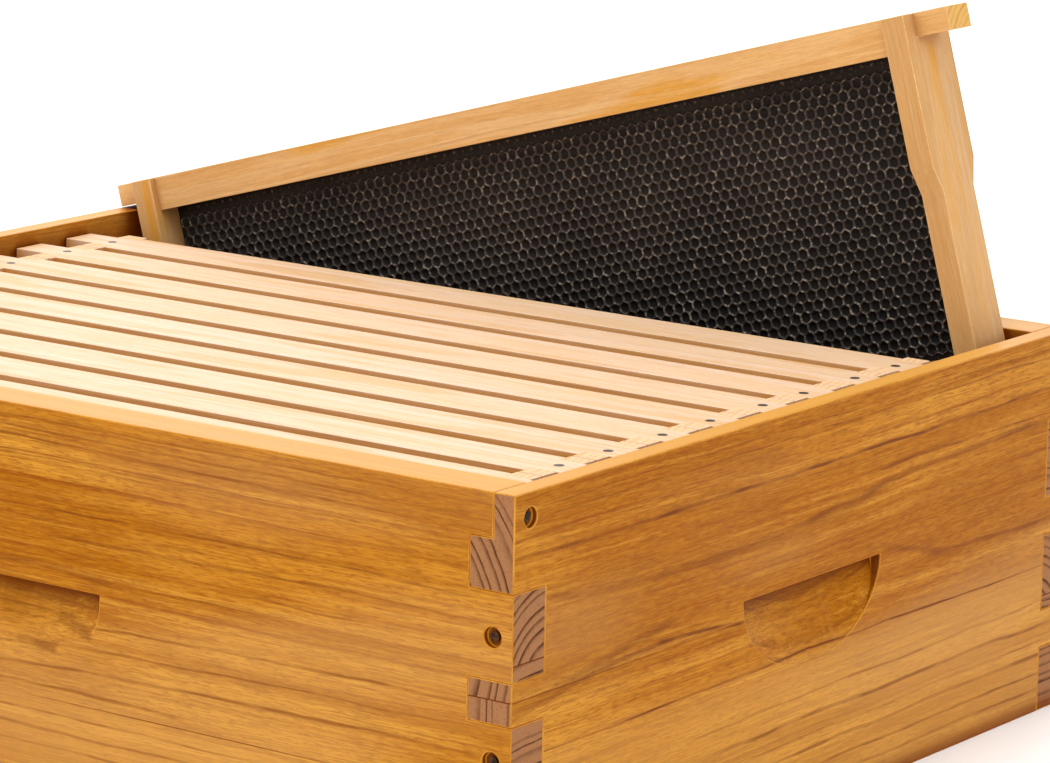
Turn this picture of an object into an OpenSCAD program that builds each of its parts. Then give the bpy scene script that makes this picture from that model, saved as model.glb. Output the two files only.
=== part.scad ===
// Langstroth hive box: a medium-depth super that holds ten frames.
// Nine frames hang on the ledges of the end boards. The tenth leans:
// one lug lies on the rear rim and its other foot stands on the front ledge.
// X runs along the frames towards the front, Y across them and Z up.

/* [Box] */
// Outside length, along the frames
box_length = 504.8; // [502:0.2:508]
// Outside width, across the frames
box_width = 412.8; // [412:0.2:416]
// Height of the boards
box_height = 168.3; // [166:0.1:172]
// Thickness of the boards
board = 20.5; // [19:0.5:21]
// Width of the ledge that the frames rest on
ledge_width = 10.8; // [10:0.1:11]
// Depth of that ledge below the rim
ledge_depth = 17.5; // [17:0.1:18.5]

/* [Corner joints] */
// Heights between which the side boards' two lower free fingers lie, and the third
side_fingers = [[0, 28.8], [45.6, 79.5], [96.5, 130.5]];
// Heights of the nails through the side boards' fingers
side_nail_heights = [14.4, 64.8, 113];
// Height of the nail through the end board's top finger
end_nail_height = 158.3; // [157:0.1:160]
// Diameter of the counterbore over each corner nail
counterbore = 8; // [7:0.5:9]
// Depth of that counterbore
counterbore_depth = 2.5; // [1.5:0.5:4]
// Diameter of a corner nail's head
corner_head = 4; // [3.5:0.5:6.5]
// Diameter of a corner nail's shank
corner_shank = 2.6; // [2.2:0.1:3.5]
// Length of a corner nail
corner_nail_length = 50; // [40:1:60]

/* [Hand holds] */
// Height of the straight lip at the top of each hand hold
lip_height = 97; // [90:1:100]
// Width of a hand hold
hold_width = 102; // [90:1:110]
// Height of the hand holds in the side boards
side_hold_height = 30; // [26:1:38]
// Height of the hand holds in the end boards
end_hold_height = 35; // [26:1:38]
// Depth of a hand hold under its lip
hold_depth = 12; // [10:0.5:13]
// Radius of the hollow floor of a hand hold
scoop_radius = 217; // [200:1:240]

/* [Frames] */
// Distance between neighbouring frames
pitch = 35.3; // [34.9:0.1:35.5]
// Length of a top bar, over its lugs
top_bar_length = 482.6; // [482:0.2:483]
// Width of a top bar between its end bars
top_bar_width = 27; // [25:0.5:28]
// Depth of a top bar between its end bars
top_bar_depth = 16.2; // [15:0.2:19]
// Width of a lug
lug_width = 17.5; // [16:0.5:19]
// Depth of a lug
lug_depth = 10.5; // [9.5:0.5:11]
// Total height of a frame
frame_height = 158.75; // [158:0.05:159]
// Length of a frame over its end bars
frame_length = 448.6; // [447:0.2:450]
// Thickness of an end bar
end_bar = 11.5; // [9.5:0.5:12.5]
// Width of the upper part of an end bar
end_bar_width = 34.5; // [33:0.5:34.5]
// Width of the lower part of an end bar
end_bar_waist = 25; // [23:0.5:28]
// Depth at which an end bar starts to narrow
shoulder_depth = 65.5; // [60:0.5:70]
// Depth at which an end bar has narrowed
waist_depth = 77.5; // [72:0.5:84]
// Width of a bottom bar
bottom_bar_width = 19; // [17:0.5:22]
// Depth of a bottom bar
bottom_bar_depth = 9.5; // [9:0.5:11]
// Diameter of a frame nail's head
frame_head = 4; // [3.5:0.1:4.5]
// Diameter of a frame nail's shank
frame_shank = 1.8; // [1.6:0.1:2]
// Length of a frame nail
frame_nail_length = 32; // [28:1:36]

/* [Foundation] */
// Thickness over the cell walls
comb_thickness = 5; // [4:0.2:6]
// Thickness of the plain edge that stands in the grooves
edge_thickness = 2.4; // [1.6:0.2:2.8]
// Depth of the groove under a top bar
top_groove = 6; // [4:0.5:8]
// Depth of the groove in a bottom bar
bottom_groove = 4.5; // [3:0.5:6]
// Height of the plain edge that shows
edge_margin = 6; // [4:1:10]

/* [Leaning frame] */
// Centre line of the leaning frame, across the box
leaning_y = 167.5; // [166:0.5:168]
// How far the lug's end stays inside the rear board's outer face
lug_inset = 0.4; // [0:0.1:2]

/* [Hidden] */
clearance = 0.3;
nail_play = 0.2;
cut = 1;
$fn = 48;

half_length = box_length / 2;
half_width = box_width / 2;
ledge_height = box_height - ledge_depth;
tongue = board - ledge_width;

groove_width = edge_thickness + 0.4;
foundation_length = frame_length - 2 * end_bar;
comb_top = top_bar_depth + edge_margin;
comb_bottom = frame_height - bottom_bar_depth - edge_margin;
foundation_top = top_bar_depth - top_groove + 1;
foundation_bottom = frame_height - bottom_bar_depth + bottom_groove;
frame_nail_x = (frame_length - end_bar) / 2;
seated_top = ledge_height + clearance + lug_depth;
bottom_nail_length = 22;

// How far each frame's nails sit off its centre line: they are driven by hand.
nail_stray = [0.5, 1, -1.5, 0.5, -1, 2, -2.5, 1.5, -1.5, 0];

// The leaning frame touches two edges, which give the tilt:
// the lug's end lies on the rim and the foot's end grain on the ledge's edge.
foot_drop = frame_height - lug_depth + clearance;
lean_reach = box_length - board - lug_inset;
lean_rise = ledge_depth + clearance;
lean = asin(foot_drop / norm([lean_reach, lean_rise])) - atan2(lean_rise, lean_reach);
lug_end = [-top_bar_length / 2, 0, -lug_depth];
rim_contact = [lug_inset - half_length, leaning_y, box_height + clearance];

FRAMES = [for (i = [1 : 10]) i];

// ---- Shared shapes ----

// A block between two corners.
module block(low, high) {
    translate(low)
        cube(high - low);
}

// Copies at both signs of X.
module both_ends() {
    children();
    mirror([1, 0, 0])
        children();
}

// Copies at all four corners.
module four_corners() {
    both_ends() {
        children();
        mirror([0, 1, 0])
            children();
    }
}

// A flat-headed nail: the head's top is at the origin and the shank points down.
module nail(length, head, shank, head_height) {
    point = 1.5 * shank;
    translate([0, 0, -head_height])
        cylinder(d = head, h = head_height);
    translate([0, 0, point - length])
        cylinder(d = shank, h = length - point);
    translate([0, 0, -length])
        cylinder(d1 = shank / 4, d2 = shank, h = point);
}

// The hole for that nail, with room for its head below the surface.
module nail_hole(length, head, shank, sink) {
    translate([0, 0, -sink])
        cylinder(d = head, h = sink + cut);
    translate([0, 0, -length])
        cylinder(d = shank + nail_play, h = length);
}

// ---- The box ----

// Places a corner nail or its hole on a side board's finger.
module at_side_nails(sink) {
    for (z = side_nail_heights)
        translate([half_length - board / 2 + 1, sink - half_width, z])
            rotate([90, 0, 0])
                children();
}

// Places a corner nail or its hole on an end board's tongue.
module at_end_nail(sink) {
    translate([half_length - sink, board / 2 - half_width, end_nail_height])
        rotate([0, 90, 0])
            children();
}

module corner_holes() {
    four_corners() {
        at_side_nails(0)
            nail_hole(corner_nail_length + counterbore_depth, counterbore, corner_shank, counterbore_depth);
        at_end_nail(0)
            nail_hole(corner_nail_length + counterbore_depth, counterbore, corner_shank, counterbore_depth);
    }
}

// Half of a hand hold's outline below its lip: an elliptical quarter at roundness 1, and squarer below that.
function hold_edge(side, height, roundness) = [
    for (a = [0 : 7.5 : 90])
        [side * hold_width / 2 * pow(cos(a), roundness), -height * pow(sin(a), roundness)]
];

// A hand hold to cut from a face in the plane y = 0, with the board at +Y.
// Its floor is a leaning cylinder: deepest under the lip and flush at the bottom.
module hand_hold(height, roundness) {
    tilt = atan(hold_depth / height);
    left = hold_edge(-1, height, roundness);
    right = hold_edge(1, height, roundness);
    outline = concat(right, [for (i = [len(left) - 2 : -1 : 0]) left[i]]);
    translate([0, 0, lip_height])
        intersection() {
            translate([0, 2 * hold_depth, 0])
                rotate([90, 0, 0])
                    linear_extrude(4 * hold_depth)
                        polygon(outline);
            translate([0, hold_depth, 0])
                rotate([-tilt, 0, 0])
                    translate([0, -scoop_radius, -2 * height])
                        cylinder(r = scoop_radius, h = 4 * height, $fn = 180);
        }
}

// A side board with its fingers, its outer face at -Y.
module side_board() {
    inner = half_length - board;
    difference() {
        union() {
            block([-inner, -half_width, 0], [inner, board - half_width, box_height]);
            for (finger = side_fingers)
                block([-half_length, -half_width, finger[0]], [half_length, board - half_width, finger[1]]);
            block([tongue - half_length, -half_width, ledge_height],
                  [half_length - tongue, board - half_width, box_height]);
        }
        translate([0, -half_width, 0])
            hand_hold(side_hold_height, 0.75);
        corner_holes();
    }
}

// An end board with its fingers and frame ledge, its outer face at +X.
module end_board() {
    inner = half_length - board;
    difference() {
        block([inner, -half_width, 0], [half_length, half_width, box_height]);
        for (side = [-1, 1], finger = side_fingers)
            block([inner - cut, side * half_width - (side > 0 ? board : cut), finger[0] - (finger[0] == 0 ? cut : 0)],
                  [half_length + cut, side * half_width + (side > 0 ? cut : board), finger[1]]);
        block([inner - cut, -half_width - cut, ledge_height], [half_length - tongue, half_width + cut, box_height + cut]);
        translate([half_length, 0, 0])
            rotate([0, 0, 90])
                hand_hold(end_hold_height, 1);
        corner_holes();
    }
}

module right_side_board() {
    color("#cf8a35")
        side_board();
}

module left_side_board() {
    color("#cf8a35")
        mirror([0, 1, 0])
            side_board();
}

module front_end_board() {
    color("#d09640")
        end_board();
}

module rear_end_board() {
    color("#d09640")
        mirror([1, 0, 0])
            end_board();
}

module corner_nails() {
    color("#4a4541")
        four_corners() {
            at_side_nails(counterbore_depth)
                corner_nail();
            at_end_nail(counterbore_depth)
                corner_nail();
        }
}

// A corner nail, whose head stands on the floor of its counterbore.
module corner_nail() {
    translate([0, 0, 1])
        nail(corner_nail_length, corner_head, corner_shank, 1);
}

// ---- The frames ----

// Puts a frame, drawn with its top face in the plane z = 0, in its place.
module in_place(i) {
    if (i < len(FRAMES))
        translate([0, (i - 5.75) * pitch, seated_top])
            children();
    else
        translate(rim_contact)
            rotate([0, -lean, 0])
                translate(-lug_end)
                    children();
}

// Places a frame's nails, or their holes, at the top and bottom of both end bars.
module frame_fasteners(i, play) {
    head_height = 1;
    both_ends()
        translate([frame_nail_x, nail_stray[i - 1], 0]) {
            nail(frame_nail_length, frame_head + play, frame_shank + play, head_height);
            translate([0, 0, -frame_height])
                rotate([180, 0, 0])
                    nail(bottom_nail_length, frame_head + play, frame_shank + play, head_height);
        }
}

module top_bar(i) {
    end_inner = foundation_length / 2;
    color("#f3ddb6")
        in_place(i)
            difference() {
                union() {
                    block([-end_inner, -top_bar_width / 2, -top_bar_depth], [end_inner, top_bar_width / 2, 0]);
                    block([-top_bar_length / 2, -lug_width / 2, -lug_depth], [top_bar_length / 2, lug_width / 2, 0]);
                }
                block([-end_inner, -groove_width / 2, -top_bar_depth - cut],
                      [end_inner, groove_width / 2, top_groove - top_bar_depth]);
                frame_fasteners(i, nail_play);
            }
}

// The outline of an end bar, with notches for the top bar and the bottom bar.
module end_bar_outline() {
    shoulder = end_bar_width / 2;
    waist = end_bar_waist / 2;
    difference() {
        polygon([
            [-shoulder, 0], [-shoulder, -shoulder_depth], [-waist, -waist_depth], [-waist, -frame_height],
            [waist, -frame_height], [waist, -waist_depth], [shoulder, -shoulder_depth], [shoulder, 0]
        ]);
        translate([-lug_width / 2, -lug_depth])
            square([lug_width, lug_depth + cut]);
        translate([-bottom_bar_width / 2, -frame_height - cut])
            square([bottom_bar_width, bottom_bar_depth + cut]);
    }
}

module end_bars(i) {
    color("#e6b877")
        in_place(i)
            difference() {
                both_ends()
                    translate([foundation_length / 2, 0, 0])
                        rotate([90, 0, 90])
                            linear_extrude(end_bar)
                                end_bar_outline();
                frame_fasteners(i, nail_play);
            }
}

module bottom_bar(i) {
    end_inner = foundation_length / 2;
    color("#e6b877")
        in_place(i)
            difference() {
                block([-frame_length / 2, -bottom_bar_width / 2, -frame_height],
                      [frame_length / 2, bottom_bar_width / 2, bottom_bar_depth - frame_height]);
                block([-end_inner, -groove_width / 2, -foundation_bottom],
                      [end_inner, groove_width / 2, cut + bottom_bar_depth - frame_height]);
                frame_fasteners(i, nail_play);
            }
}

module foundation(i) {
    half_sheet = foundation_length / 2 - clearance;
    half_comb = half_sheet - edge_margin / 2;
    color("#1b1a19")
        in_place(i) {
            block([-half_sheet, -edge_thickness / 2, -foundation_bottom],
                  [half_sheet, edge_thickness / 2, -foundation_top]);
            block([-half_comb, -comb_thickness / 2, -comb_bottom], [half_comb, comb_thickness / 2, -comb_top]);
        }
}

module frame_nails(i) {
    color("#4a4541")
        in_place(i)
            frame_fasteners(i, 0);
}

// ---- Drawing ----

right_side_board();
left_side_board();
front_end_board();
rear_end_board();
corner_nails();
for (i = FRAMES) {
    top_bar(i);
    end_bars(i);
    bottom_bar(i);
    foundation(i);
    frame_nails(i);
}
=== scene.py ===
"""A ten-frame Langstroth hive box: waxed finger-jointed boards, planed frames and black plastic comb."""

import math

import bpy
from mathutils import Color, Matrix, Vector


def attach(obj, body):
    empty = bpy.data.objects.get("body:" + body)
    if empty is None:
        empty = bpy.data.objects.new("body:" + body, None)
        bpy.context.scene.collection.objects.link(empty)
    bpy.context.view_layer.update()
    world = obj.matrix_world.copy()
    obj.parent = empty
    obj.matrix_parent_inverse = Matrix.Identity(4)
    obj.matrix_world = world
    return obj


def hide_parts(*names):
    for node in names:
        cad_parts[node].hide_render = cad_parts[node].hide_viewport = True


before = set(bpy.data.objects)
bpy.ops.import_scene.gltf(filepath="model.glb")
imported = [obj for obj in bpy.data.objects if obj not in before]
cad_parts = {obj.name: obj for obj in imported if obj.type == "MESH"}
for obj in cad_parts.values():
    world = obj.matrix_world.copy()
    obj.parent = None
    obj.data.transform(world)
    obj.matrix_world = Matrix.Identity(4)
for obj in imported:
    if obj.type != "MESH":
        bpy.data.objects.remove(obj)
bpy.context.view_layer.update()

# ---- Driving values, in metres and degrees ----

MM = 0.001
FRAME_COUNT = 10
LEANING_FRAME = 10

CAMERA_TARGET = (0.0299, 0.1065, 0.1295)
CAMERA_DISTANCE = 2.15
CAMERA_AZIMUTH = 35.841
CAMERA_ELEVATION = 12.028
CAMERA_ROLL = 1.038
CAMERA_LENS = 165.114

BOARD_EDGE = 0.5 * MM
FRAME_EDGE = 0.35 * MM
SHARP_ANGLE = math.radians(35)
ROUNDED_ANGLE = math.radians(75)
SEAM_WIDTH = 0.4 * MM
PALE_BLEND = 8 * MM
NOOK_REACH = 14 * MM
BOARD_RINGS = 4.4
FRAME_RINGS = 3.4

CELL_PITCH = 5.32 * MM
CELL_RIM = 2.4 * MM
CELL_LIP = 2.2 * MM
CELL_FLOOR = 0.9 * MM
CELL_CENTRE = 0.5 * MM
LIP_SHARE = 0.87
FLOOR_SHARE = 0.76
MARGIN_HALF = 1.2 * MM
TOP_MARGIN = 9 * MM
BOTTOM_MARGIN = 5.2 * MM
END_MARGIN = 0.6 * MM
STUD_RADIUS = 1.1 * MM
STUD_SECTORS = 8
STUD_DROP = 6.7 * MM
STUD_END_GAP = 8 * MM

FLOOR_REACH = 9.0
LAMP_TARGET = (0, 0, 0.15)


# ---- Small helpers ----


def tone(code):
    """The linear colour of a hex code such as "c08040"."""
    shade = Color([int(code[i:i + 2], 16) / 255 for i in (0, 2, 4)])
    return (*shade.from_srgb_to_scene_linear(), 1.0)


def link(obj):
    bpy.context.scene.collection.objects.link(obj)
    return obj


class Tree:
    """The nodes of one material, added and joined by short calls."""

    def __init__(self, name):
        self.material = bpy.data.materials.new(name)
        self.material.use_nodes = True
        self.tree = self.material.node_tree
        self.shader = self.tree.nodes["Principled BSDF"]

    def feed(self, socket, value):
        if isinstance(value, bpy.types.NodeSocket):
            self.tree.links.new(value, socket)
        else:
            socket.default_value = value

    def node(self, kind, inputs, **settings):
        node = self.tree.nodes.new("ShaderNode" + kind)
        for key, value in settings.items():
            setattr(node, key, value)
        for key, value in inputs.items():
            self.feed(node.inputs[key], value)
        return node

    def math(self, operation, *values, clamp=False):
        node = self.node("Math", dict(enumerate(values)), operation=operation, use_clamp=clamp)
        return node.outputs[0]

    def vector(self, operation, *values):
        node = self.node("VectorMath", dict(enumerate(values)), operation=operation)
        return node.outputs["Value" if operation in ("LENGTH", "DOT_PRODUCT") else "Vector"]

    def scaled(self, vector, factor):
        return self.node("VectorMath", {0: vector, "Scale": factor}, operation="SCALE").outputs[0]

    def noise(self, place, stretch, detail=3.0, roughness=0.5, output="Fac"):
        """Noise whose features are about 1/stretch metres long on each axis."""
        spread = self.vector("MULTIPLY", place, stretch)
        inputs = {"Vector": spread, "Scale": 1.0, "Detail": detail, "Roughness": roughness}
        return self.node("TexNoise", inputs).outputs[output]

    def line_noise(self, value, scale, detail=1.0):
        inputs = {"W": value, "Scale": scale, "Detail": detail}
        return self.node("TexNoise", inputs, noise_dimensions="1D").outputs["Fac"]

    def span(self, value, low, high, to_low=0.0, to_high=1.0):
        """A smooth step from to_low to to_high as the value goes from low to high."""
        inputs = {"Value": value, "From Min": low, "From Max": high, "To Min": to_low, "To Max": to_high}
        return self.node("MapRange", inputs, interpolation_type="SMOOTHSTEP").outputs[0]

    def mix(self, share, first, second, blend="MIX"):
        node = self.node("Mix", {0: share, 6: first, 7: second}, data_type="RGBA", blend_type=blend)
        return node.outputs[2]

    def mix_value(self, share, first, second):
        return self.node("Mix", {0: share, 2: first, 3: second}, data_type="FLOAT").outputs[0]

    def part(self, vector, axis):
        return self.node("SeparateXYZ", {0: vector}).outputs[axis]

    def finish(self, colour, roughness, height, depth, strength):
        """Feeds the shader its colour, roughness and a bump of the given depth."""
        bump = self.node("Bump", {"Height": height, "Distance": depth, "Strength": strength})
        self.feed(self.shader.inputs["Base Color"], colour)
        self.feed(self.shader.inputs["Roughness"], roughness)
        self.feed(self.shader.inputs["Normal"], bump.outputs["Normal"])
        return self.material


# ---- Wood ----

# The colours of each wood. pale, warm and deep drift over its faces, late and vein are its dark lines, and
# end_pale and end_late its sawn ends. edge is for paler planks, and is painted on upward faces as painted
# light and sheen; the next colour is painted shade for gaps and holes, and the last a pale bloom on the
# wax that also stands in for its sheen, as painted sheen.
WAXED_PINE = {
    "pale": "cb8c2c",
    "warm": "b87310",
    "deep": "a66200",
    "late": "8e4700",
    "vein": "6a2c00",
    "end_pale": "9e6c46",
    "end_late": "48220c",
    "edge": "d8a050",
    "nook_shade": "7a3800",
    "bloom_and_sheen": "c89a64",
}
# A paler, less golden copy of the frames' pine for the seated frames: painted light, standing in for the
# light and grazing sheen on their tops.
LIT_PLANED_PINE = {
    "pale": "e2c4aa",
    "warm": "dcb890",
    "deep": "d6ab78",
    "late": "ca9a66",
    "vein": "9a6434",
    "end_pale": "dcb890",
    "end_late": "cfa070",
    "edge": "e2c19a",
    "nook_shade": "cc8c3c",
    "bloom_and_sheen": "e2c19a",
}
GOLDEN_PINE = {
    "pale": "e0b680",
    "warm": "d6a262",
    "deep": "d4942a",
    "late": "bc8444",
    "vein": "8c5826",
    "end_pale": "d8a85c",
    "end_late": "bc8846",
    "edge": "dfb47c",
    "nook_shade": "b8854e",
    "bloom_and_sheen": "dfb47c",
}
# A darker copy of the golden pine for the leaning frame's end bars: painted shade, for the shade that
# falls on those faces.
SHADED_GOLDEN_PINE = {
    **GOLDEN_PINE,
    "pale": "d2a878",
    "warm": "c8985e",
    "edge": "d4aa7a",
}


def figure_line(tree, along, height, line):
    """How strongly one long dark streak shows, from 0 to 1.

    line is (x0, z0, x1, z1, arch, width, strength), in mm but for the strength. arch is how far its
    middle stands above the straight line between its ends."""
    x0, z0, x1, z1, arch, width, strength = line
    share = tree.math("DIVIDE", tree.math("SUBTRACT", along, x0 * MM), (x1 - x0) * MM)
    bow = tree.math("MULTIPLY", share, tree.math("SUBTRACT", 1.0, share))
    straight = tree.math("MULTIPLY_ADD", share, (z1 - z0) * MM, z0 * MM)
    path = tree.math("ADD", straight, tree.math("MULTIPLY", bow, 4 * arch * MM))
    away = tree.math("ABSOLUTE", tree.math("SUBTRACT", height, path))
    core = tree.span(away, 0.6 * width * MM, 0.15 * width * MM, 0.0, strength)
    middle = tree.math("ABSOLUTE", tree.math("SUBTRACT", share, 0.5))
    return tree.math("MULTIPLY", core, tree.span(middle, 0.5, 0.38))


def glued_planks(tree, height, planks):
    """Where the pith lies at a height, how pale the wood is, which plank it is, and how near a seam."""
    _, pith_y, pith_z, paleness = planks[0]
    heart = (0, pith_y * MM, pith_z * MM)
    lift = paleness
    plank = 0.0
    seam = 0.0
    for start, next_y, next_z, next_pale in planks[1:]:
        level = start * MM
        above = tree.math("GREATER_THAN", height, level)
        move = (0, (next_y - pith_y) * MM, (next_z - pith_z) * MM)
        heart = tree.vector("ADD", heart, tree.scaled(move, above))
        paler = tree.span(height, level - PALE_BLEND, level + PALE_BLEND, 0.0, next_pale - paleness)
        lift = tree.math("ADD", lift, paler)
        plank = tree.math("ADD", plank, above)
        away = tree.math("ABSOLUTE", tree.math("SUBTRACT", height, level))
        seam = tree.math("MAXIMUM", seam, tree.span(away, SEAM_WIDTH, SEAM_WIDTH / 4))
        pith_y, pith_z, paleness = next_y, next_z, next_pale
    return heart, lift, plank, seam


def year_rings(tree, across, spacing):
    """How dark the yearly rings are on the faces, and on the sawn ends, around the pith."""
    radius = tree.vector("LENGTH", across)
    uneven = tree.math("MULTIPLY", tree.line_noise(radius, 90), 2.2 * spacing * MM)
    phase = tree.math("DIVIDE", tree.math("ADD", radius, uneven), spacing * MM)
    ring = tree.math("FRACT", phase)
    count = {"W": tree.math("FLOOR", phase)}
    year = tree.node("TexWhiteNoise", count, noise_dimensions="1D").outputs["Value"]
    face_line = tree.math("MULTIPLY", tree.span(ring, 0.66, 0.96), tree.span(ring, 1.0, 0.97))
    face_year = tree.span(tree.math("POWER", year, 1.5), 0.0, 1.0, 0.25, 1.0)
    end_line = tree.math("MULTIPLY", tree.span(ring, 0.5, 0.94), tree.span(ring, 1.0, 0.96))
    end_year = tree.span(year, 0.0, 0.8, 0.5, 1.0)
    return tree.math("MULTIPLY", face_line, face_year), tree.math("MULTIPLY", end_line, end_year)


def wood_marks(tree, field, sample, gloss):
    """The noises that draw the wood, by name, most of them drawn out along the grain.

    The broad ones follow field, which runs on across the seams, and the fine ones follow sample, which
    doesn't."""
    dash = tree.span(tree.noise(sample, (26, 60, 60), 2.0), 0.4, 0.62, 0.45, 1.0)
    vein = tree.noise(sample, (4, 330, 330), 2.0, 0.6)
    vein = tree.span(vein, 0.7, 0.78, 0.0, 0.3 + 0.15 * gloss)
    return {
        "patch": tree.noise(field, (4, 20, 20) if gloss else (8, 64, 64), 3.0),
        "cloud": tree.noise(field, (5, 26, 26), 2.0),
        "bloom_sheen_patch": tree.noise(field, (2.5, 12, 12), 2.0),
        "fade": tree.noise(sample, (5, 22, 22), 2.0),
        "band": tree.noise(sample, (1.6, 130, 130), 3.0, 0.6),
        "streak": tree.noise(sample, (4, 480, 480), 3.0, 0.65),
        "fibre": tree.noise(sample, (60, 1500, 1500), 2.0, 0.7),
        "fleck": tree.noise(sample, (200, 1500, 1500), 2.0, 0.6),
        "pores": tree.noise(sample, (1400, 1400, 1400), 2.0, 0.7),
        "smear": tree.noise(sample, (160, 160, 160), 2.0),
        "dash": dash,
        "vein": tree.math("MULTIPLY", vein, dash),
    }


def face_colour(tree, colours, marks, face_line, hollow_line, lift, gloss, bold):
    """The colour of the long faces: broad drifts first, then bands, streaks, rings and fibres.

    hollow_line is how strongly the rings show where a hand hold slopes through them."""
    drift = marks["band"] if gloss else marks["patch"]
    fade = tree.span(marks["fade"], 0.38, 0.66, 0.15, 1.0)
    ring = tree.math("MULTIPLY", tree.math("MULTIPLY", face_line, fade), bold)
    layers = [
        (tree.span(marks["cloud"], 0.44, 0.64, 0.0, 0.9 * gloss), "deep"),
        (tree.span(drift, 0.5, 0.64, 0.0, 0.85), "deep"),
        (tree.span(marks["band"], 0.44, 0.34, 0.0, 0.7), "pale"),
        (tree.span(marks["streak"], 0.54, 0.72, 0.0, 0.55 * bold), "late"),
        (tree.span(marks["streak"], 0.46, 0.32, 0.0, 0.5), "pale"),
        (ring, "late"),
        (hollow_line, "vein"),
        (tree.span(marks["fleck"], 0.5, 0.7, 0.0, 0.55 * bold), "late"),
        (tree.span(marks["fleck"], 0.48, 0.3, 0.0, 0.25), "pale"),
        (marks["vein"], "vein"),
        (tree.span(marks["fibre"], 0.38, 0.6, 0.34 * bold, 0.0), "vein"),
        # Painted sheen: soft pale patches, a bloom on the wax that also stands in for the light it
        # reflects.
        (tree.span(marks["bloom_sheen_patch"], 0.5, 0.66, 0.0, 0.22 * gloss), "bloom_and_sheen"),
        (lift, "edge"),
    ]
    colour = tree.mix(tree.span(marks["patch"], 0.38, 0.64), colours["warm"], colours["pale"])
    for share, key in layers:
        colour = tree.mix(share, colour, colours[key])
    return colour


def end_colour(tree, colours, marks, end_line):
    """The colour of the sawn ends: greyer, with dark sharp rings and open pores."""
    colour = tree.mix(end_line, colours["end_pale"], colours["end_late"])
    colour = tree.mix(tree.span(marks["pores"], 0.45, 0.75, 0.0, 0.4), colour, colours["end_late"])
    return tree.mix(tree.span(marks["smear"], 0.4, 0.7, 0.0, 0.3), colour, colours["end_pale"])


def wood(name, palette, to_grain, planks, seed, spacing, wander, figure, gloss, bold):
    """Solid wood, cut from a log whose rings run round the pith, so that its faces and ends agree.

    to_grain turns the piece's coordinates into grain ones: x along the grain, y and z across it. planks
    lists the glued-up planks from the bottom, each as (lowest z, pith y, pith z, paleness from 0 to 1),
    in mm, the pith being the log's heart. spacing is between rings, and wander how far they stray, both
    in mm. figure lists the longest dark streaks. gloss is 1 for waxed wood and 0 for bare, and bold is
    how strongly the grain shows."""
    tree = Tree(name)
    colours = {key: tone(code) for key, code in palette.items()}
    source = tree.node("TexCoord", {}).outputs
    turn = {"Rotation": to_grain.to_euler()}
    spot = {"Vector": source["Object"], "Location": to_grain.translation, **turn}
    place = tree.node("Mapping", spot).outputs[0]
    height = tree.part(place, "Z")
    heart, lift, plank, seam = glued_planks(tree, height, planks)
    field = tree.vector("ADD", place, (seed * 1.7, seed * 0.9, seed * 1.3))
    sample = tree.vector("ADD", field, tree.scaled((0.31, 0.17, 0.05), plank))

    # The grain strays slowly along the piece and quickly across it.
    centre = (0.5, 0.5, 0.5)
    slow = tree.vector("SUBTRACT", tree.noise(sample, (3.2, 11, 11), 1.5, output="Color"), centre)
    quick = tree.vector("SUBTRACT", tree.noise(sample, (22, 80, 80), 2.0, output="Color"), centre)
    stray = tree.vector("ADD", tree.scaled(slow, wander * 2 * MM), tree.scaled(quick, 1.3 * MM))
    bent = tree.vector("SUBTRACT", tree.vector("ADD", place, stray), heart)
    face_line, end_line = year_rings(tree, tree.vector("MULTIPLY", bent, (0, 1, 1)), spacing)
    field = tree.vector("ADD", field, stray)
    sample = tree.vector("ADD", sample, stray)
    marks = wood_marks(tree, field, sample, gloss)
    upward = tree.part(source["Normal"], "Z")
    hollow_line = tree.math("MULTIPLY", end_line, tree.span(upward, 0.1, 0.25, 0.0, 0.6 * gloss))
    colour = face_colour(tree, colours, marks, face_line, hollow_line, lift, gloss, bold)

    # The longest streaks, broken into dashes.
    jitter = tree.math("MULTIPLY", tree.part(quick, "Z"), 3 * MM)
    level = tree.math("ADD", height, jitter)
    broken = tree.span(marks["dash"], 0.45, 1.0, 0.5, 1.0)
    for line in figure:
        strength = figure_line(tree, tree.part(place, "X"), level, line)
        colour = tree.mix(tree.math("MULTIPLY", strength, broken), colour, colours["vein"])

    # Sawn ends, and the glue in the seams, which shows most there.
    facing = {"Vector": source["Normal"], **turn}
    facing = tree.node("Mapping", facing, vector_type="NORMAL").outputs[0]
    end = tree.span(tree.math("ABSOLUTE", tree.part(facing, "X")), 0.88, 0.96)
    colour = tree.mix(end, colour, end_colour(tree, colours, marks, end_line))
    seen = tree.math("MAXIMUM", end, tree.span(marks["patch"], 0.45, 0.6, 0.05, 0.7))
    glue = tree.math("MULTIPLY", seam, seen)
    colour = tree.mix(glue, colour, colours["vein"])

    # Upward faces of waxed wood are painted paler, a painted highlight standing in for the light and sheen
    # on them.
    colour = tree.mix(tree.span(upward, 0.8, 0.95, 0.0, 0.7 * gloss), colour, colours["edge"])
    # Painted shade: holes, gaps and corners are darkened towards the nook colour where ambient occlusion
    # finds them.
    open_air = tree.node("AmbientOcclusion", {"Distance": NOOK_REACH}, samples=10).outputs["AO"]
    colour = tree.mix(tree.span(open_air, 0.85, 0.5), colour, colours["nook_shade"])

    lines = tree.math("MULTIPLY", tree.math("ADD", face_line, marks["fibre"]), 0.5)
    holes = tree.math("MULTIPLY", tree.math("MULTIPLY", marks["pores"], end), 0.9)
    relief = tree.math("SUBTRACT", tree.math("ADD", lines, holes), glue)
    matt = tree.span(marks["band"], 0.3, 0.7, 0.46 - 0.12 * gloss, 0.56 - 0.12 * gloss)
    matt = tree.math("MULTIPLY_ADD", end, 0.25, matt)
    tree.shader.inputs["Specular IOR Level"].default_value = 0.15 - 0.1 * gloss
    return tree.finish(colour, matt, relief, 0.25 * MM, 0.6)


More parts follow.
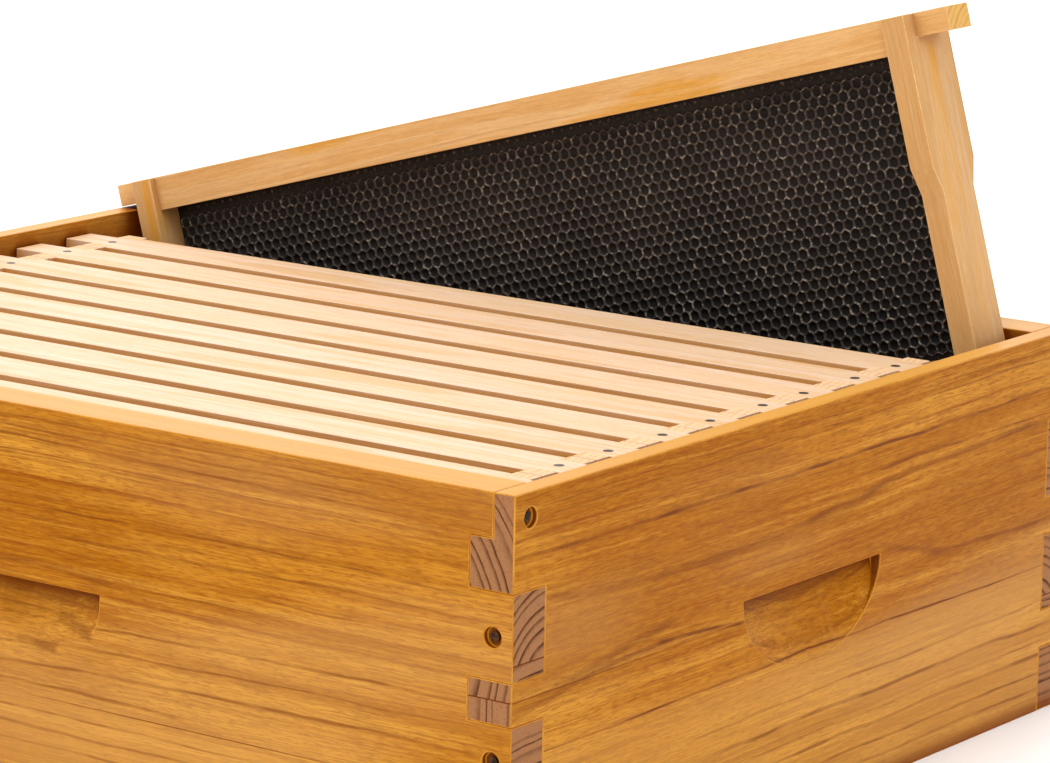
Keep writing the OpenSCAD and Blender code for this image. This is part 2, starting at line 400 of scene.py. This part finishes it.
def worn_edge(name, palette):
    """The rounded corners of a bar or board, where handling has left the wood paler here and there."""
    tree = Tree(name)
    place = tree.node("TexCoord", {}).outputs["Object"]
    rub = tree.noise(place, (45, 45, 45), 4.0, 0.6)
    fibre = tree.noise(place, (800, 800, 800), 2.0)
    colour = tree.mix(tree.span(rub, 0.35, 0.65), tone(palette["warm"]), tone(palette["pale"]))
    colour = tree.mix(tree.span(fibre, 0.5, 0.7, 0.0, 0.35), colour, tone(palette["late"]))
    tree.shader.inputs["Specular IOR Level"].default_value = 0.15
    return tree.finish(colour, tree.span(rub, 0.3, 0.7, 0.4, 0.55), fibre, 0.1 * MM, 0.4)


ALONG_X = Matrix.Identity(4)
ALONG_Y = Matrix.Rotation(math.radians(-90), 4, "Z")
ALONG_Z = Matrix.Rotation(math.radians(90), 4, "Y")


# ---- Plastic and steel ----


def comb_plastic():
    """Black moulded plastic, shiny on the cell rims, with a thin, uneven brush of wax; painted near-black
    in the cells as painted shade and paler on the rims as painted highlight.
    """
    tree = Tree("comb_plastic")
    place = tree.node("TexCoord", {}).outputs["Object"]
    wax = tree.span(tree.part(place, "Z"), -0.14, -0.04, 0.15, 0.85)
    wax = tree.math("MULTIPLY", wax, tree.span(tree.noise(place, (14, 14, 14), 3.0), 0.3, 0.65, 0.5, 1.0))
    grit = tree.noise(place, (650, 650, 650), 2.0)
    worn = tree.span(tree.noise(place, (260, 260, 260), 3.0, 0.7), 0.35, 0.68)
    # Painted shade and highlight: near-black on the cell floors and the flat margin, paler on the rims,
    # where the wax is also laid on thicker.
    out = tree.math("ABSOLUTE", tree.part(place, "Y"))
    rim = tree.span(out, CELL_FLOOR, CELL_RIM)
    colour = tree.mix(rim, tone("040303"), tone("2c2622"))
    wax = tree.math("MULTIPLY", wax, tree.span(rim, 0.0, 1.0, 0.3, 0.85))
    colour = tree.mix(wax, colour, tone("4a3e35"))
    # Pale specks on the rims: grit, and painted glints standing in for highlights.
    speck = tree.math("MULTIPLY", tree.span(grit, 0.52, 0.7), tree.math("MULTIPLY", rim, 0.7))
    colour = tree.mix(speck, colour, tone("9a8b79"))
    tree.shader.inputs["Specular IOR Level"].default_value = 0.2
    dull = tree.span(worn, 0.0, 1.0, 0.6, 0.28)
    return tree.finish(colour, tree.mix_value(rim, 0.75, dull), grit, 0.12 * MM, 0.6)


def steel(name, dark, light):
    """Nails, a little tarnished."""
    tree = Tree(name)
    place = tree.node("TexCoord", {}).outputs["Object"]
    tarnish = tree.noise(place, (500, 500, 500), 3.0)
    scratch = tree.noise(place, (2600, 900, 2600), 2.0)
    colour = tree.mix(tree.span(tarnish, 0.35, 0.7), tone(dark), tone(light))
    roughness = tree.span(scratch, 0.3, 0.7, 0.35, 0.6)
    tree.shader.inputs["Metallic"].default_value = 0.35
    tree.shader.inputs["Specular IOR Level"].default_value = 0.2
    return tree.finish(colour, roughness, scratch, 0.03 * MM, 0.5)


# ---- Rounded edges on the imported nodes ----


def smooth_by_angle():
    """A node group that drops the stored normals and keeps only real corners sharp."""
    group = bpy.data.node_groups.new("smooth_by_angle", "GeometryNodeTree")
    group.interface.new_socket("Geometry", in_out="INPUT", socket_type="NodeSocketGeometry")
    group.interface.new_socket("Geometry", in_out="OUTPUT", socket_type="NodeSocketGeometry")
    start = group.nodes.new("NodeGroupInput")
    finish = group.nodes.new("NodeGroupOutput")
    plain = group.nodes.new("GeometryNodeRemoveAttribute")
    plain.inputs["Name"].default_value = "custom_normal"
    faces = group.nodes.new("GeometryNodeSetShadeSmooth")
    edges = group.nodes.new("GeometryNodeSetShadeSmooth")
    edges.domain = "EDGE"
    edges.inputs["Shade Smooth"].default_value = False
    angle = group.nodes.new("GeometryNodeInputMeshEdgeAngle")
    sharp = group.nodes.new("FunctionNodeCompare")
    sharp.operation = "GREATER_THAN"
    sharp.inputs["B"].default_value = SHARP_ANGLE
    group.links.new(angle.outputs["Unsigned Angle"], sharp.inputs["A"])
    group.links.new(sharp.outputs[0], edges.inputs["Selection"])
    chain = [start, plain, faces, edges, finish]
    for before, after in zip(chain, chain[1:]):
        group.links.new(before.outputs[0], after.inputs[0])
    return group


def round_edges(obj, width, smoothing, edge_material):
    """Rounds a node's corners and gives them a material of their own."""
    obj.data.materials.append(edge_material)
    weld = obj.modifiers.new("weld", "WELD")
    weld.merge_threshold = 0.01 * MM
    flat = obj.modifiers.new("flat", "DECIMATE")
    flat.decimate_type = "DISSOLVE"
    flat.angle_limit = math.radians(0.4)
    bevel = obj.modifiers.new("bevel", "BEVEL")
    bevel.width = width
    bevel.segments = 2
    bevel.limit_method = "ANGLE"
    bevel.angle_limit = ROUNDED_ANGLE
    bevel.use_clamp_overlap = False
    bevel.material = 1
    smooth = obj.modifiers.new("smooth", "NODES")
    smooth.node_group = smoothing
    weighted = obj.modifiers.new("weighted", "WEIGHTED_NORMAL")
    weighted.keep_sharp = True


def dress(name, material):
    """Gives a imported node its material."""
    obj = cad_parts[name]
    obj.material_slots[0].link = "OBJECT"
    obj.material_slots[0].material = material
    return obj


# ---- Where each frame sits ----


def frame_place(number):
    """The place and lean of a frame: origin mid-way along its top bar's upper face, z up its end bars."""
    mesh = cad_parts[f"top_bar_{number}"].data
    upward = [face for face in mesh.polygons if face.normal.z > 0.9]
    top = max(upward, key=lambda face: face.area).normal
    turn = Matrix.Rotation(math.atan2(top.x, top.z), 4, "Y")
    upright = [turn.inverted() @ vertex.co for vertex in mesh.vertices]
    middle = [(min(p[axis] for p in upright) + max(p[axis] for p in upright)) / 2 for axis in (0, 1)]
    return turn @ Matrix.Translation((*middle, max(p.z for p in upright)))


def node_span(name, place):
    """The lowest and highest corners of a node, in its frame's own axes."""
    back = place.inverted()
    points = [back @ vertex.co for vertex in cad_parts[name].data.vertices]
    low = Vector([min(p[axis] for p in points) for axis in range(3)])
    high = Vector([max(p[axis] for p in points) for axis in range(3)])
    return low, high


# ---- Comb foundation ----


def comb_face(low, high):
    """One face of the comb: vertices and faces of the cells that fit between two corners."""
    radius = CELL_PITCH / math.sqrt(3)
    columns = int((high.x - low.x - CELL_PITCH / 2) / CELL_PITCH)
    rows = int((high.z - low.z - radius / 2) / (1.5 * radius))
    left = (low.x + high.x - columns * CELL_PITCH) / 2 + CELL_PITCH / 2
    bottom = (low.z + high.z - (rows - 1) * 1.5 * radius) / 2
    points = []
    faces = []
    shared = {}

    def ring(x, z, share, level):
        corners = []
        for corner in range(6):
            angle = math.radians(60 * corner + 30)
            spot = (x + share * radius * math.cos(angle), -level, z + share * radius * math.sin(angle))
            key = (round(spot[0] / (0.1 * MM)), round(spot[2] / (0.1 * MM)))
            if share == 1 and key in shared:
                corners.append(shared[key])
                continue
            if share == 1:
                shared[key] = len(points)
            corners.append(len(points))
            points.append(spot)
        return corners

    for row in range(rows):
        stagger = CELL_PITCH / 4 if row % 2 else -CELL_PITCH / 4
        z = bottom + row * 1.5 * radius
        for column in range(columns):
            x = left + column * CELL_PITCH + stagger
            rim = ring(x, z, 1, CELL_RIM)
            lip = ring(x, z, LIP_SHARE, CELL_LIP)
            base = ring(x, z, FLOOR_SHARE, CELL_FLOOR)
            centre = len(points)
            points.append((x, -CELL_CENTRE, z))
            for corner in range(6):
                after = (corner + 1) % 6
                faces.append((rim[corner], rim[after], lip[after], lip[corner]))
                faces.append((lip[corner], lip[after], base[after], base[corner]))
                faces.append((base[corner], base[after], centre))
    return points, faces


def closed_comb(low, high):
    """Both faces of the comb, joined round the outside into one closed skin."""
    points, faces = comb_face(low, high)
    count = len(points)
    used = {}
    for face in faces:
        for first, second in zip(face, face[1:] + face[:1]):
            used[(first, second)] = used.get((first, second), 0) + 1
    rim = [edge for edge in used if (edge[1], edge[0]) not in used]
    back_points = [(x, -y, z) for x, y, z in points]
    back_faces = [tuple(count + corner for corner in reversed(face)) for face in faces]
    skirt = [(second, first, first + count, second + count) for first, second in rim]
    return points + back_points, faces + back_faces + skirt


def margin(low, high, inner_low, inner_high):
    """The flat rim round the comb that the bars' grooves hold: a closed rectangular ring."""
    points = []
    for y in (-MARGIN_HALF, MARGIN_HALF):
        for a, b in ((low, high), (inner_low, inner_high)):
            points += [(a.x, y, a.z), (b.x, y, a.z), (b.x, y, b.z), (a.x, y, b.z)]
    faces = []
    for side in range(4):
        after = (side + 1) % 4
        faces.append((side, after, after + 4, side + 4))
        faces.append((after + 8, side + 8, side + 12, after + 12))
        faces.append((after, side, side + 8, after + 8))
        faces.append((side + 4, after + 4, after + 12, side + 12))
    return points, faces


def stud(x, z, side):
    """A low round stud on the margin, a closed dome."""
    points = []
    faces = []
    for share, level in ((1.0, 0.8), (1.0, 1.35), (0.6, 1.75)):
        for sector in range(STUD_SECTORS):
            angle = 2 * math.pi * sector / STUD_SECTORS
            reach = share * STUD_RADIUS
            points.append((x + reach * math.cos(angle), -side * level * MM, z + reach * math.sin(angle)))
    for low in (0, STUD_SECTORS):
        high = low + STUD_SECTORS
        for sector in range(STUD_SECTORS):
            after = (sector + 1) % STUD_SECTORS
            faces.append((low + sector, low + after, high + after, high + sector))
    faces.append(tuple(reversed(range(STUD_SECTORS))))
    faces.append(tuple(range(2 * STUD_SECTORS, 3 * STUD_SECTORS)))
    if side < 0:
        faces = [tuple(reversed(face)) for face in faces]
    return points, faces


def foundation_mesh(low, high):
    """The whole sheet: comb on both faces, a flat margin and a row of studs along its upper edge."""
    comb_low = Vector((low.x + END_MARGIN, 0, low.z + BOTTOM_MARGIN))
    comb_high = Vector((high.x - END_MARGIN, 0, high.z - TOP_MARGIN))
    comb = closed_comb(comb_low, comb_high)
    reach = [[pick(point[axis] for point in comb[0]) for axis in range(3)] for pick in (min, max)]
    overlap = Vector((CELL_PITCH / 2 + 0.4 * MM, 0, CELL_PITCH / 2))
    shells = [comb, margin(low, high, Vector(reach[0]) + overlap, Vector(reach[1]) - overlap)]
    stud_count = int((high.x - low.x - STUD_END_GAP) / CELL_PITCH)
    for index in range(stud_count):
        x = (index - (stud_count - 1) / 2) * CELL_PITCH + (low.x + high.x) / 2
        for side in (1, -1):
            shells.append(stud(x, high.z - STUD_DROP, side))
    points = []
    faces = []
    for shell_points, shell_faces in shells:
        faces += [tuple(len(points) + corner for corner in face) for face in shell_faces]
        points += shell_points
    mesh = bpy.data.meshes.new("comb_sheet")
    mesh.from_pydata(points, [], faces)
    mesh.shade_smooth()
    return mesh


# ---- The object ----


def box_boards(smoothing, edge):
    """The four boards: grain runs along each, and each is glued up from planks of different logs."""
    side_figure = [
        (-260, 163.5, 250, 163, 0, 1.0, 0.37),
        (-260, 159, 260, 157.5, 1, 1.2, 0.5),
        (-260, 155, 240, 152, 2, 1.4, 0.56),
        (-90, 148, 200, 146.5, 1, 1.0, 0.37),
        (-40, 127.5, 250, 127, 1, 1.2, 0.56),
        (20, 117, 250, 118.5, 1, 1.5, 0.5),
        (60, 109, 190, 108, 0, 1.0, 0.5),
        (-80, 99, 90, 97.5, 7, 3.4, 0.43),
        (38, 95, 88, 97.5, -2.5, 2.4, 0.34),
        (30, 82, 250, 85.5, 1.5, 1.5, 0.59),
        (8, 72, 240, 76.5, 1.5, 1.2, 0.5),
        (-120, 57, 245, 66.5, 3, 1.7, 0.59),
        (-200, 54, 110, 54, 1, 1.8, 0.56),
        (-220, 44, 150, 43, 1, 1.2, 0.5),
        (-220, 37, 150, 36, 1, 1.5, 0.5),
        (-220, 30, 150, 30, 0, 1.2, 0.5),
        (24, 84, 48, 79, 0, 7, 0.46),
        (4, 72.5, 30, 71, 0, 4, 0.5),
    ]
    end_figure = [
        (-206, 162, 206, 162, 0, 1.2, 0.42),
        (-206, 157.5, 206, 158.5, 0, 1.2, 0.49),
        (-230, 143.5, 215, 145.5, -1.5, 1.9, 0.9),
        (46, 132.8, 118, 134.2, 0.5, 2.0, 0.9),
        (100, 134, 190, 133.5, 0, 1.1, 0.56),
        (-200, 127, 60, 126, -8, 4.5, 0.49),
        (-20, 119, 230, 128, 6, 3.4, 0.56),
        (-240, 79, -90, 101, 1, 4.5, 0.42),
        (-240, 75, -96, 93, 4, 2.8, 0.52),
        (-115, 93, -47, 88.5, 0.5, 2.2, 0.9),
        (46, 103, 130, 88, -4, 3.2, 0.42),
        (80, 89, 225, 87, -1, 3, 0.63),
        (-165, 65.5, 206, 65.5, 1.5, 1.3, 0.9),
        (-100, 48, 205, 50, 0, 1.3, 0.49),
        (-90, 38, 215, 39, 1, 2.0, 0.66),
        (-60, 31, 205, 32, 0, 1.2, 0.49),
        (-40, 25, 215, 26.5, 0, 2.0, 0.63),
        (0, 17, 215, 18, 0, 1.5, 0.63),
        (30, 10, 205, 10.5, 0, 1.5, 0.56),
    ]
    left_planks = ((0, 196, 120, 0.4), (52, 168, 30, 0.0), (118, 186, 40, 0.2))
    rear_planks = ((0, 262, 10, 0.0), (40, 200, 120, 0.3), (96, 214, 40, 0.1))
    side_planks = ((0, -215, -60, 0.3), (50, -190, -10, 0.05), (103, -181, 88, 0.0))
    end_planks = ((0, -222, -70, 0.3), (66, -160, 84, 0.0), (89, -182, 108, 0.0))
    boards = {
        "right_side_board": (ALONG_X, side_planks, 1.0, 3, side_figure),
        "left_side_board": (ALONG_X, left_planks, 4.2, 8, []),
        "front_end_board": (ALONG_Y, end_planks, 2.4, 4, end_figure),
        "rear_end_board": (ALONG_Y, rear_planks, 5.6, 8, []),
    }
    for name, (to_grain, planks, seed, wander, figure) in boards.items():
        wood_name = name + "_wood"
        pine = wood(wood_name, WAXED_PINE, to_grain, planks, seed, BOARD_RINGS, wander, figure, 1.0, 1.0)
        round_edges(dress(name, pine), BOARD_EDGE, smoothing, edge)


def comb_frames(smoothing, plastic, nails):
    """Each frame's planed bars, nails and comb sheet."""
    sheet_mesh = None
    edges = {True: worn_edge("golden_edge", GOLDEN_PINE), False: worn_edge("planed_edge", LIT_PLANED_PINE)}
    for number in range(1, FRAME_COUNT + 1):
        place = frame_place(number)
        back = place.inverted()
        leaning = number == LEANING_FRAME
        palette = GOLDEN_PINE if leaning else LIT_PLANED_PINE
        upright_palette = SHADED_GOLDEN_PINE if leaning else LIT_PLANED_PINE
        bars = {
            f"top_bar_{number}": (palette, ALONG_X, (30, -38), 0.0),
            f"end_bars_{number}": (upright_palette, ALONG_Z, (-45, 30), 0.4),
            f"bottom_bar_{number}": (palette, ALONG_X, (-34, -180), 0.7),
        }
        for name, (shades, along, pith, shift) in bars.items():
            seed = 0.77 * number + shift
            planks = [(0, *pith, 0.0)]
            to_grain = along @ back
            pine = wood(name + "_wood", shades, to_grain, planks, seed, FRAME_RINGS, 9, [], 0.0, 0.4)
            round_edges(dress(name, pine), FRAME_EDGE, smoothing, edges[leaning])
        dress(f"frame_nails_{number}", nails)
        if sheet_mesh is None:
            sheet_mesh = foundation_mesh(*node_span(f"foundation_{number}", place))
            sheet_mesh.materials.append(plastic)
        sheet = link(bpy.data.objects.new(f"comb_sheet_{number}", sheet_mesh))
        sheet.matrix_world = place
        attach(sheet, f"frame_{number}")
        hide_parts(f"foundation_{number}")


# ---- Floor, light and camera ----


def pale_floor():
    mesh = bpy.data.meshes.new("floor")
    corners = [(x * FLOOR_REACH, y * FLOOR_REACH, 0) for x, y in ((-1, -1), (1, -1), (1, 1), (-1, 1))]
    mesh.from_pydata(corners, [], [(0, 1, 2, 3)])
    tree = Tree("pale_floor")
    tree.shader.inputs["Base Color"].default_value = (0.98, 0.98, 0.98, 1)
    tree.shader.inputs["Roughness"].default_value = 0.8
    mesh.materials.append(tree.material)
    link(bpy.data.objects.new("floor", mesh))


def aim(target, azimuth, elevation, distance):
    """Where a camera or lamp stands to look at a target from a direction given in degrees."""
    turn = Matrix.Rotation(math.radians(azimuth), 4, "Z")
    tilt = Matrix.Rotation(math.radians(90 - elevation), 4, "X")
    return Matrix.Translation(target) @ turn @ tilt @ Matrix.Translation((0, 0, distance))


def softbox(name, azimuth, elevation, distance, size, power):
    """A square lamp that looks at the middle of the box."""
    lamp = bpy.data.lights.new(name, "AREA")
    lamp.size = size
    lamp.energy = power
    obj = link(bpy.data.objects.new(name, lamp))
    obj.matrix_world = aim(LAMP_TARGET, azimuth, elevation, distance)


def studio_light():
    world = bpy.data.worlds.new("studio")
    world.use_nodes = True
    world.node_tree.nodes["Background"].inputs["Color"].default_value = (1, 1, 1, 1)
    world.node_tree.nodes["Background"].inputs["Strength"].default_value = 1.05
    bpy.context.scene.world = world
    softbox("top_light", 330, 78, 2.2, 1.6, 30)
    softbox("front_light", 45, 35, 2.6, 2.2, 8)
    softbox("back_light", 216, 18, 2.6, 2.0, 16)


def add_camera():
    camera = bpy.data.cameras.new("camera")
    camera.lens = CAMERA_LENS
    camera.sensor_width = 36
    camera.clip_end = 50
    obj = link(bpy.data.objects.new("camera", camera))
    stand = aim(CAMERA_TARGET, CAMERA_AZIMUTH, CAMERA_ELEVATION, CAMERA_DISTANCE)
    obj.matrix_world = stand @ Matrix.Rotation(math.radians(CAMERA_ROLL), 4, "Z")
    bpy.context.scene.camera = obj


smoothing = smooth_by_angle()
box_boards(smoothing, worn_edge("waxed_edge", WAXED_PINE))
dress("corner_nails", steel("waxed_nail_steel", "1e0e04", "5e3412"))
comb_frames(smoothing, comb_plastic(), steel("frame_nail_steel", "2a2826", "625e5a"))
pale_floor()
studio_light()
add_camera()
bpy.context.scene.view_settings.view_transform = "Standard"
